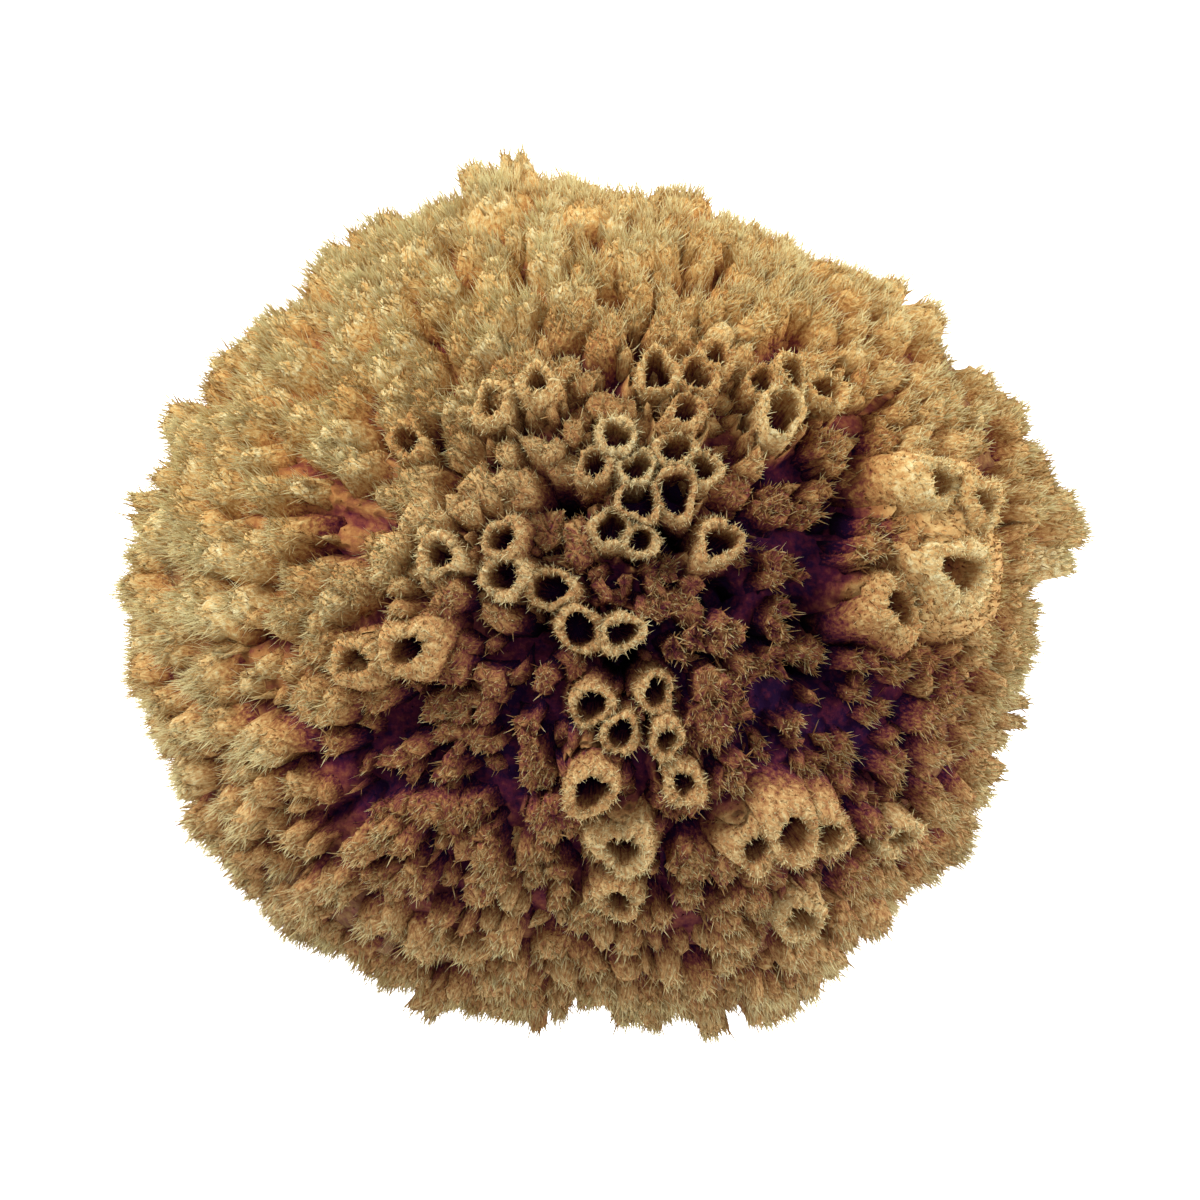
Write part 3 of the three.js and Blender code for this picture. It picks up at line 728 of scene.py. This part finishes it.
def make_body():
    steps = CUT_RINGS + DOME_RINGS
    edge = np.arctan2(CUT_REACH, WAIST_Z)
    polar = np.concatenate([
        np.arctan(np.tan(edge) * np.linspace(0.5 / CUT_RINGS, 1, CUT_RINGS)),
        edge + (np.pi - edge) * np.linspace(0, 1, DOME_RINGS + 2)[1:-1],
    ])
    azimuth = turns(BODY_SEGMENTS)
    flat = np.sin(polar)[:, None]
    ways = np.stack([
        flat * np.cos(azimuth), flat * np.sin(azimuth),
        np.broadcast_to(-np.cos(polar)[:, None], (steps, BODY_SEGMENTS)),
    ], -1)
    ways = unit(np.concatenate([ways.reshape(-1, 3), [[BESIDE_POLE, 0, -1], [BESIDE_POLE, 0, 1]]]))
    length = tuft_length(ways)
    base = place(ways, length * FURROW)
    wool = at_most_one(ways, WOOLLY)
    height = length * (FURROW - 0.06 + 0.05 * wool)
    height += 0.6 * ripple(base, 7, 3) + 0.4 * ripple(base, 4, 13)
    chimneys = list(zip(chimney_ways, CHIMNEYS[:, 2], CHIMNEYS[:, 3]))
    for middle, mouth, rise in chimneys:
        joined = np.clip((mouth + CHIMNEY_WALL + 3 - apart(ways, middle)) / 2.5, 0, 1)
        share = COLLAR_HEIGHT[0] + (COLLAR_HEIGHT[1] - COLLAR_HEIGHT[0]) * at_most_one(middle, FELTED)
        height = np.maximum(height, joined * (tuft_length(middle) + rise) * share)
    mass = np.clip(spread(ways, MASSES) * 1.5 - 0.3, 0, 1)
    height = np.maximum(height, (length * 0.84 + 0.5 * ripple(base, 5, 23)) * mass)
    slot = np.clip((into_slots(ways) + 0.9) / 1.2, 0, 1)
    height = height - 2.5 * slot
    hollow = np.zeros(len(ways))
    for middle, mouth, rise in chimneys:
        away = apart(ways, middle)
        margin = CHIMNEY_WALL + 0.8 - at_most_one(middle, FELTED)
        low = np.clip((mouth + margin - away) / 1.1, 0, 1)
        floor = tuft_length(middle) + rise - CHIMNEY_DEPTH - 2.5
        height = height * (1 - low) + floor * low
        hollow = np.maximum(hollow, low)
    for middle, radius in zip(gap_ways, GAPS[:, 2]):
        low = np.clip((radius + 0.8 - apart(ways, middle)) / 1.6, 0, 1)
        height = height * (1 - low) - GAP_DEPTH * low
        hollow = np.maximum(hollow, low)
    points = place(ways, height)
    under = points[:, 2] < 0
    scale = WAIST_Z / np.maximum(1e-6, -(points[:, 2] - WAIST_Z))
    flat_points = MIDDLE + (points - MIDDLE) * np.where(under, scale, 1)[:, None]
    depth = np.zeros(len(points))
    for middle, radius, deep in zip(*canals()):
        away = np.linalg.norm(flat_points[:, :2] - middle, axis=1)
        depth = np.maximum(depth, deep * np.clip((radius - away) / 0.9, 0, 1) * under)
    flat_points[:, 2] += depth
    faces = []
    for ring in range(steps - 1):
        for side in range(BODY_SEGMENTS):
            a, b = ring * BODY_SEGMENTS + side, ring * BODY_SEGMENTS + (side + 1) % BODY_SEGMENTS
            faces.append((a, b, b + BODY_SEGMENTS, a + BODY_SEGMENTS))
    last = (steps - 1) * BODY_SEGMENTS
    for side in range(BODY_SEGMENTS):
        after = (side + 1) % BODY_SEGMENTS
        faces.append((after, side, steps * BODY_SEGMENTS))
        faces.append((last + side, last + after, steps * BODY_SEGMENTS + 1))
    mesh = bpy.data.meshes.new("body")
    mesh.from_pydata((flat_points * MM).tolist(), [], faces)
    # The body's level, painted light and shade: darker where it lies low between the tufts, in the dim parts,
    # the crevices, the chimney holes, the gaps and down the canals; lighter where raised and on felt masses;
    # painted light lifts it at the limb and in the woolly parts. The ripple is a random tone.
    raised = np.clip(height / length, 0, 1)
    limb = limb_of(ways)
    painted_limb_light = np.clip((limb + 0.5 * wool - 0.35) / 0.3, 0, 1)
    plain = 0.24 + 0.1 * ripple(base, 13, 33) - 0.1 * at_most_one(ways, PAINTED_SHADE_SPOTS)
    level = plain + (0.46 - plain) * painted_limb_light
    level = level + np.clip((raised - 0.36) * 1.5, -0.5, 0.45) * (1 - 0.6 * painted_limb_light)
    level = (level * (1 - mass) + 0.62 * mass - 0.12 * slot) * (1 - 0.85 * hollow)
    level = np.where(under, 0.62 - depth * 0.09, level)
    grain = np.where(under[:, None], [[0, 0, -1]], growth(ways))
    facts = {
        "level": np.clip(level, 0, 1), "grain": grain, "hair": (0.8 + 0.5 * mass) * MM,
        # Browning, as painted shade: the body is duller and browner from a little above the widest level
        # down, except on the cut.
        "brown": np.clip((0.6 - ways[:, 2]) / 0.5, 0, 1) * (1 - mass) * ~under,
        "fringe": np.where(under, 0, np.clip((raised - 0.3) * 2, 0.05, 1) + 0.15 * limb + 1.5 * mass),
    }
    for fact, values in facts.items():
        store_fact(mesh, fact, values)
    mesh.shade_smooth()
    return add_object("body", mesh)


def pick(sockets, key):
    """A socket by its number, identifier or name."""
    if isinstance(key, int):
        return sockets[key]
    named = [s for s in sockets if s.identifier == key] or [s for s in sockets if s.name == key]
    return named[0]


class Socket:
    """An output of a node. Arithmetic on it adds Math nodes."""

    def __init__(self, tree, output):
        self.tree = tree
        self.output = output

    def math(self, operation, first, second=0.0):
        return self.tree.add("ShaderNodeMath", {"operation": operation}, {0: first, 1: second})["Value"]

    def __add__(self, other):
        return self.math("ADD", self, other)

    def __sub__(self, other):
        return self.math("SUBTRACT", self, other)

    def __mul__(self, other):
        return self.math("MULTIPLY", self, other)

    def __pow__(self, other):
        return self.math("POWER", self, other)


class Node:
    """A node that was added. Its outputs are read by name."""

    def __init__(self, tree, node):
        self.tree = tree
        self.node = node

    def __getitem__(self, key):
        return Socket(self.tree, pick(self.node.outputs, key))


class Tree:
    """A tree of nodes, and the one way to add any node to it."""

    def __init__(self, tree):
        self.tree = tree

    def add(self, kind, settings=None, values=None):
        node = self.tree.nodes.new(kind)
        for name, value in (settings or {}).items():
            if name == "stops":
                self.set_stops(node.color_ramp, value)
            else:
                setattr(node, name, value)
        for key, value in (values or {}).items():
            socket = pick(node.inputs, key)
            if isinstance(value, Socket):
                self.tree.links.new(value.output, socket)
            else:
                socket.default_value = value
        return Node(self, node)

    def split(self, vector):
        return self.add("ShaderNodeSeparateXYZ", values={"Vector": vector})

    def joined(self, **values):
        return self.add("ShaderNodeCombineXYZ", values=values)["Vector"]

    def spot(self):
        return self.add("ShaderNodeTexCoord")["Object"]

    def finish_place(self):
        return self.add("ShaderNodeUVMap", {"uv_map": "OFBake"})["UV"]

    def fact(self, name):
        return self.add("ShaderNodeAttribute", {"attribute_name": name})["Fac"]

    def ranged(self, value, low, high, to_low=0.0, to_high=1.0):
        return self.add("ShaderNodeMapRange", values={
            "Value": value, "From Min": low, "From Max": high, "To Min": to_low, "To Max": to_high,
        })["Result"]

    def noise(self, vector, scale, detail, roughness):
        return self.add("ShaderNodeTexNoise", values={
            "Vector": vector, "Scale": scale, "Detail": detail, "Roughness": roughness,
        })["Fac"]

    def multiplied(self, colour, by, factor):
        return self.add("ShaderNodeMix", {"data_type": "RGBA", "blend_type": "MULTIPLY"}, {
            "Factor_Float": factor, "A_Color": colour, "B_Color": (*by, 1),
        })["Result_Color"]

    def bump(self, height, distance):
        return self.add("ShaderNodeBump", values={
            "Strength": BUMP, "Distance": distance, "Height": height,
        })["Normal"]

    @staticmethod
    def set_stops(ramp, stops):
        while len(ramp.elements) < len(stops):
            ramp.elements.new(1)
        for element, (position, colour) in zip(ramp.elements, stops):
            element.position = position
            element.color = (*colour, 1)


# The colours of spongin by level. The low ones are painted shade, down to near black for the deep inside; the
# high ones run out to the pale ends of the tufts, the palest of them partly painted light.
SPONGIN = [
    (0.00, (0.009, 0.0008, 0.018)),
    (0.15, (0.056, 0.0065, 0.021)),
    (0.30, (0.140, 0.037, 0.029)),
    (0.45, (0.248, 0.113, 0.043)),
    (0.60, (0.378, 0.220, 0.088)),
    (0.75, (0.488, 0.357, 0.170)),
    (0.88, (0.582, 0.508, 0.300)),
    (1.00, (0.705, 0.662, 0.410)),
]
# Multiplier for painted warm light at the upper limb.
PAINTED_WARM_LIGHT = (1.12, 1.0, 0.75)
# Multiplier for the browning, painted shade on the lower body.
PAINTED_SHADE_TINT = (0.5, 0.68, 0.85)
ROUGHNESS = 0.9
SHINE = 0.08
BUMP = 0.8
THROUGH = 0.45  # share of a fibre's shading that is translucent
# Light along a tuft: place in the finish, and height among the colours. After the rim it falls again,
# down into a chimney.
TUFT_LIGHT = ((0.0, 0.0), (0.6, 0.72), (0.8, 0.84), (0.92, 0.58), (0.96, 0.3), (1.0, 0.0))


def new_material(name):
    material = bpy.data.materials.new(name)
    material.use_nodes = True
    material.node_tree.nodes.clear()
    return material, Tree(material.node_tree)


def with_painted_warm_light(tree, colour, level):
    """The colour with painted warm light: more golden at the upper limb of the picture and less so at its
    middle and foot, least on the lightest levels.
    """
    spot = tree.split(tree.spot())
    away = (spot["X"] * spot["X"] + spot["Y"] * spot["Y"]) ** 0.5
    outer = tree.ranged(away, 0.016, 0.045)
    upper = tree.ranged(spot["Y"] - spot["X"] * 0.25, -0.035, 0.035)
    dark = tree.ranged(level, 0.7, 1.0, 1.0, 0.15)
    return tree.multiplied(colour, PAINTED_WARM_LIGHT, outer * upper * dark)


def finish_with(tree, level, normal=None, translucent=0.0, brown=None):
    """Ends a material: spongin of this level, with its bumps, light that goes through, painted warm light,
    and browning as painted shade.
    """
    colour = tree.add("ShaderNodeValToRGB", {"stops": SPONGIN}, {"Fac": level})["Color"]
    colour = with_painted_warm_light(tree, colour, level)
    if brown is not None:
        colour = tree.multiplied(colour, PAINTED_SHADE_TINT, brown)
    values = {"Base Color": colour, "Roughness": ROUGHNESS, "Specular IOR Level": SHINE}
    if normal is not None:
        values["Normal"] = normal
    surface = tree.add("ShaderNodeBsdfPrincipled", values=values)["BSDF"]
    if translucent:
        through = tree.add("ShaderNodeBsdfTranslucent", values={"Color": colour})["BSDF"]
        surface = tree.add("ShaderNodeMixShader", values={0: translucent, 1: surface, 2: through})["Shader"]
    tree.add("ShaderNodeOutputMaterial", values={"Surface": surface})


def tuft_material():
    material, tree = new_material("spongin_tufts")
    uv = tree.finish_place()
    part = tree.split(uv)
    tone = tree.add("ShaderNodeMath", {"operation": "FLOOR"}, {0: part["X"] * TONES})["Value"] * (1 / TONES)
    stops = [(at, (light, light, light)) for at, light in TUFT_LIGHT]
    height = tree.add("ShaderNodeValToRGB", {"stops": stops}, {"Fac": part["Y"]})["Color"]
    stretched = tree.add("ShaderNodeMapping", values={"Vector": uv, "Scale": (300, 12, 1)})["Vector"]
    streaks = tree.noise(stretched, 1.0, 4.0, 0.6)
    felt = tree.noise(tree.spot(), 1500.0, 4.0, 0.7)
    lit_height = height ** (tone * -PAINTED_SHADE_FALL + PAINTED_SHADE_POWER) * TOP_LEVEL + (tone - 0.5) * TONE_STEP
    level = lit_height + (streaks - 0.5) * 0.95 + (felt - 0.5) * 0.55
    finish_with(tree, level, tree.bump(felt * 0.8 + streaks, 0.0005))
    return material


def body_material():
    material, tree = new_material("spongin_body")
    spot = tree.spot()
    felt = tree.noise(spot, 900.0, 5.0, 0.65)
    pores = tree.add("ShaderNodeTexVoronoi", {"feature": "F1"}, {"Vector": spot, "Scale": 420.0})["Distance"]
    mesh_like = tree.ranged(pores, 0.15, 0.5)
    # The stored level with its painted light and shade, a random felt tone, and the pores darkened a little
    # as painted shade.
    shade = tree.fact("level") + (felt - 0.5) * 0.6 + (mesh_like - 0.7) * 0.08
    finish_with(tree, shade, tree.bump(felt * 0.5 + mesh_like, 0.0006), brown=tree.fact("brown"))
    return material


def fringe_material():
    material, tree = new_material("spongin_fibres")
    part = tree.split(tree.finish_place())
    # A fibre's level: its tone, darker towards the root as painted shade.
    finish_with(tree, part["X"] + part["Y"] * 0.44 - 0.13, translucent=THROUGH)
    return material


# The sizes that each set of fibres has. Density is fibres a square metre, Fur is how many more stand
# where it is furry, and Thickness is in metres. Length multiplies the length that the surface states.
# Stand, Comb and Ruffle are how much a fibre follows the surface's normal, the grain, and chance.
FIBRE_SIZES = ("Density", "Fur", "Thickness", "Length", "Stand", "Comb", "Ruffle", "Seed")
FIBRES = [
    ("tuft_teeth_1", "tufts", 0.62e6, -0.45e6, 0.00028, 1.0, 0.25, 0.9, 0.65, 10),
    ("tuft_teeth_2", "tufts", 0.62e6, -0.45e6, 0.00028, 1.0, 0.25, 0.9, 0.65, 20),
    ("tuft_fuzz", "tufts", 0.2e6, 1.72e6, 0.00019, 1.4, 0.35, 0.95, 0.6, 60),
    ("filler_fuzz", "fillers", 0.0, 1.1e6, 0.00017, 1.4, 0.35, 0.95, 0.6, 62),
    ("limb_hairs", "strands", 0.0, 0.75e6, 0.00014, 2.4, 0.3, 1.2, 0.5, 64),
    ("filler_teeth", "fillers", 0.65e6, 0.0, 0.00026, 1.0, 0.35, 0.9, 0.75, 65),
    ("strand_teeth", "strands", 0.62e6, 0.0, 0.00024, 1.0, 0.25, 1.0, 0.65, 70),
    ("chimney_teeth", "chimneys", 1.5e6, 0.0, 0.00022, 0.9, 0.6, 0.6, 0.8, 80),
    ("felt", "body", 0.8e6, 0.0, 0.0003, 1.0, 0.2, 0.6, 0.9, 90),
]
FIBRE_WIDTH = (0.6, 1.3)
FIBRE_TINT = 0.13


def fringe_tree(material):
    """Geometry Nodes that grow short pointed fibres on a surface, along its grain."""
    group = bpy.data.node_groups.new("fringe", "GeometryNodeTree")
    face = group.interface
    face.new_socket("Geometry", in_out="INPUT", socket_type="NodeSocketGeometry")
    for name in FIBRE_SIZES:
        kind = "NodeSocketInt" if name == "Seed" else "NodeSocketFloat"
        face.new_socket(name, in_out="INPUT", socket_type=kind)
    face.new_socket("Geometry", in_out="OUTPUT", socket_type="NodeSocketGeometry")
    tree = Tree(group)
    given = tree.add("NodeGroupInput")

    def fact(name, kind="FLOAT"):
        return tree.add("GeometryNodeInputNamedAttribute", {"data_type": kind}, {"Name": name})["Attribute"]

    def summed(first, second):
        return tree.add("ShaderNodeVectorMath", {"operation": "ADD"}, {0: first, 1: second})["Vector"]

    def scaled(vector, amount):
        values = {0: vector, "Scale": amount}
        return tree.add("ShaderNodeVectorMath", {"operation": "SCALE"}, values)["Vector"]

    def drawn(low, high, step):
        values = {2: low, 3: high, "Seed": given["Seed"] + step}
        return tree.add("FunctionNodeRandomValue", {"data_type": "FLOAT"}, values)[1]

    def stored(geometry, name, value, kind="FLOAT", domain="POINT"):
        settings = {"data_type": kind, "domain": domain}
        values = {"Geometry": geometry, "Name": name, "Value": value}
        return tree.add("GeometryNodeStoreNamedAttribute", settings, values)["Geometry"]

    scatter = tree.add("GeometryNodeDistributePointsOnFaces", values={
        "Mesh": given["Geometry"], "Seed": given["Seed"],
        "Density": given["Density"] * fact("fringe") + given["Fur"] * fact("fur"),
    })
    loose = tree.add("FunctionNodeRandomValue", {"data_type": "FLOAT_VECTOR"}, {
        "Min": (-1, -1, -1), "Max": (1, 1, 1), "Seed": given["Seed"],
    })["Value"]
    combed = scaled(fact("grain", "FLOAT_VECTOR"), given["Comb"])
    way = summed(scaled(scatter["Normal"], given["Stand"]), summed(combed, scaled(loose, given["Ruffle"])))
    turn = tree.add("FunctionNodeAlignRotationToVector", {"axis": "Z"}, {"Vector": way})["Rotation"]
    draw = drawn(0.0, 1.0, 1)
    size = draw * 0.6 + draw ** 8 * 0.7 + 0.5
    # A fibre's tone: the level of the surface under it, painted shade and all, plus a random tint.
    tint = drawn(-FIBRE_TINT, FIBRE_TINT, 3)
    toned = stored(scatter["Points"], "tint", fact("level") + tint)
    cone = tree.add("GeometryNodeMeshCone", {"fill_type": "NGON"}, {
        "Vertices": 3, "Radius Top": 0.0, "Radius Bottom": 0.5, "Depth": 1.0,
    })["Mesh"]
    parts = tree.split(tree.add("GeometryNodeInputPosition")["Position"])
    marked = stored(stored(cone, "along", parts["Z"]), "aside", parts["X"])
    thick = given["Thickness"] * drawn(*FIBRE_WIDTH, 2)
    scale = tree.joined(X=thick, Y=thick, Z=fact("hair") * size * given["Length"])
    standing = tree.add("GeometryNodeInstanceOnPoints", values={
        "Points": toned, "Instance": marked, "Rotation": turn, "Scale": scale,
    })["Instances"]
    solid = tree.add("GeometryNodeRealizeInstances", values={"Geometry": standing})["Geometry"]
    map_place = tree.joined(X=fact("tint") + fact("aside") * 0.02, Y=fact("along"))
    mapped = stored(solid, "OFBake", map_place, "FLOAT2", "CORNER")
    for name in ("tint", "along", "aside", "fringe", "fur", "grain", "hair", "level", "brown"):
        values = {"Geometry": mapped, "Name": name}
        mapped = tree.add("GeometryNodeRemoveAttribute", values=values)["Geometry"]
    done = tree.add("GeometryNodeSetMaterial", values={"Geometry": mapped, "Material": material})["Geometry"]
    tree.add("NodeGroupOutput", values={"Geometry": done})
    return group


def grow(name, source, group, sizes):
    """A plain mesh of the fibres that the group grows on the source."""
    carrier = add_object(name, source.data.copy())
    modifier = carrier.modifiers.new("fringe", "NODES")
    modifier.node_group = group
    for item in group.interface.items_tree:
        if item.in_out == "INPUT" and item.name in sizes:
            modifier[item.identifier] = sizes[item.name]
    bpy.context.view_layer.update()
    seen = carrier.evaluated_get(bpy.context.evaluated_depsgraph_get())
    mesh = bpy.data.meshes.new_from_object(seen)
    carrier.modifiers.remove(modifier)
    old = carrier.data
    carrier.data = mesh
    bpy.data.meshes.remove(old)
    mesh.name = name
    return carrier


def keep_above_floor(piece):
    count = len(piece.data.vertices)
    places = np.empty(count * 3, np.float32)
    piece.data.vertices.foreach_get("co", places)
    places = places.reshape(-1, 3)
    places[:, 2] = np.maximum(places[:, 2], 0)
    piece.data.vertices.foreach_set("co", places.reshape(-1))
    piece.data.update()


# Each lamp: name, place in metres, width, power. All face the middle of the sponge.
LAMPS = [
    ("key", (-0.6, 0.55, 0.6), 0.6, 15),
    ("right", (0.75, 0.2, 0.35), 0.5, 8),
    ("low", (0.1, -0.8, 0.35), 0.5, 4.5),
    ("top", (0.05, 0.1, 1.1), 0.4, 3),
]
LAMP_COLOUR = (1.0, 0.985, 0.96)
SKY = 0.28
FLOOR_GLOW = 2.6
FLOOR_HALF = 4.0
FLOOR_LEVEL = -0.0003  # just under the cut, in metres


def add_lamp(name, spot, size, power):
    light = bpy.data.lights.new(name, "AREA")
    light.shape = "DISK"
    light.size = size
    light.energy = power
    light.color = LAMP_COLOUR
    lamp = add_object(name, light)
    lamp.location = spot
    toward = Vector((0, 0, WAIST_Z * MM)) - lamp.location
    lamp.rotation_euler = toward.to_track_quat("-Z", "Y").to_euler()


# The picture: straight down on the sponge.
CAMERA_UP = 0.750  # above the waist
SEEN_WIDTH = 0.176  # at the waist
SENSOR = 36.0
CAMERA_X, CAMERA_Y = -0.0002, -0.0007


def make_camera():
    view = bpy.data.cameras.new("camera")
    view.sensor_width = SENSOR
    view.lens = SENSOR * CAMERA_UP / SEEN_WIDTH
    camera = add_object("camera", view)
    camera.location = (CAMERA_X, CAMERA_Y, WAIST_Z * MM + CAMERA_UP)
    bpy.context.scene.camera = camera


def make_stage():
    mesh = bpy.data.meshes.new("floor")
    corners = [(x * FLOOR_HALF, y * FLOOR_HALF, FLOOR_LEVEL) for x, y in ((-1, -1), (1, -1), (1, 1), (-1, 1))]
    mesh.from_pydata(corners, [], [(0, 1, 2, 3)])
    floor = add_object("floor", mesh)
    material, tree = new_material("white_floor")
    shader = tree.add("ShaderNodeBsdfPrincipled", values={
        "Base Color": (0.0, 0.0, 0.0, 1), "Specular IOR Level": 0.0, "Emission Color": (1, 1, 1, 1),
        "Emission Strength": FLOOR_GLOW,
    })["BSDF"]
    tree.add("ShaderNodeOutputMaterial", values={"Surface": shader})
    mesh.materials.append(material)


def make_light():
    for lamp in LAMPS:
        add_lamp(*lamp)
    world = bpy.data.worlds.new("studio")
    world.use_nodes = True
    sky = world.node_tree.nodes["Background"]
    sky.inputs["Color"].default_value = (1, 1, 1, 1)
    sky.inputs["Strength"].default_value = SKY
    bpy.context.scene.world = world
    bpy.context.scene.view_settings.view_transform = "Standard"


make_camera()
make_stage()
make_light()
body = make_body()
tuft_rows = tuft_columns()
tufts = make_columns("tufts", COLUMN_RINGS, COLUMN_HAIR, COLUMN_FUR, COLUMN_SIDES, tuft_rows, TEETH)
fillers = make_columns(
    "fillers", FILLER_RINGS, FILLER_HAIR, FILLER_FUR, FILLER_SIDES, filler_columns(tuft_rows), TEETH
)
strands = make_columns(
    "strands", STRAND_RINGS, STRAND_HAIR, STRAND_FUR, STRAND_SIDES,
    [np.concatenate(both) for both in zip(collar_columns(), strand_columns())], TEETH / 2,
)
chimneys = make_chimneys()
body.data.materials.append(body_material())
tuft_finish = tuft_material()
for piece in (tufts, fillers, strands, chimneys):
    piece.data.materials.append(tuft_finish)
group = fringe_tree(fringe_material())
grown_on = {piece.name: piece for piece in (body, tufts, fillers, strands, chimneys)}
fringes = [
    grow(name, grown_on[source], group, dict(zip(FIBRE_SIZES, sizes)))
    for name, source, *sizes in FIBRES
]
for piece in fringes:
    keep_above_floor(piece)

for piece in (body, tufts, fillers, strands, chimneys, *fringes):
    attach(piece, "root")
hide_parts("sponge")
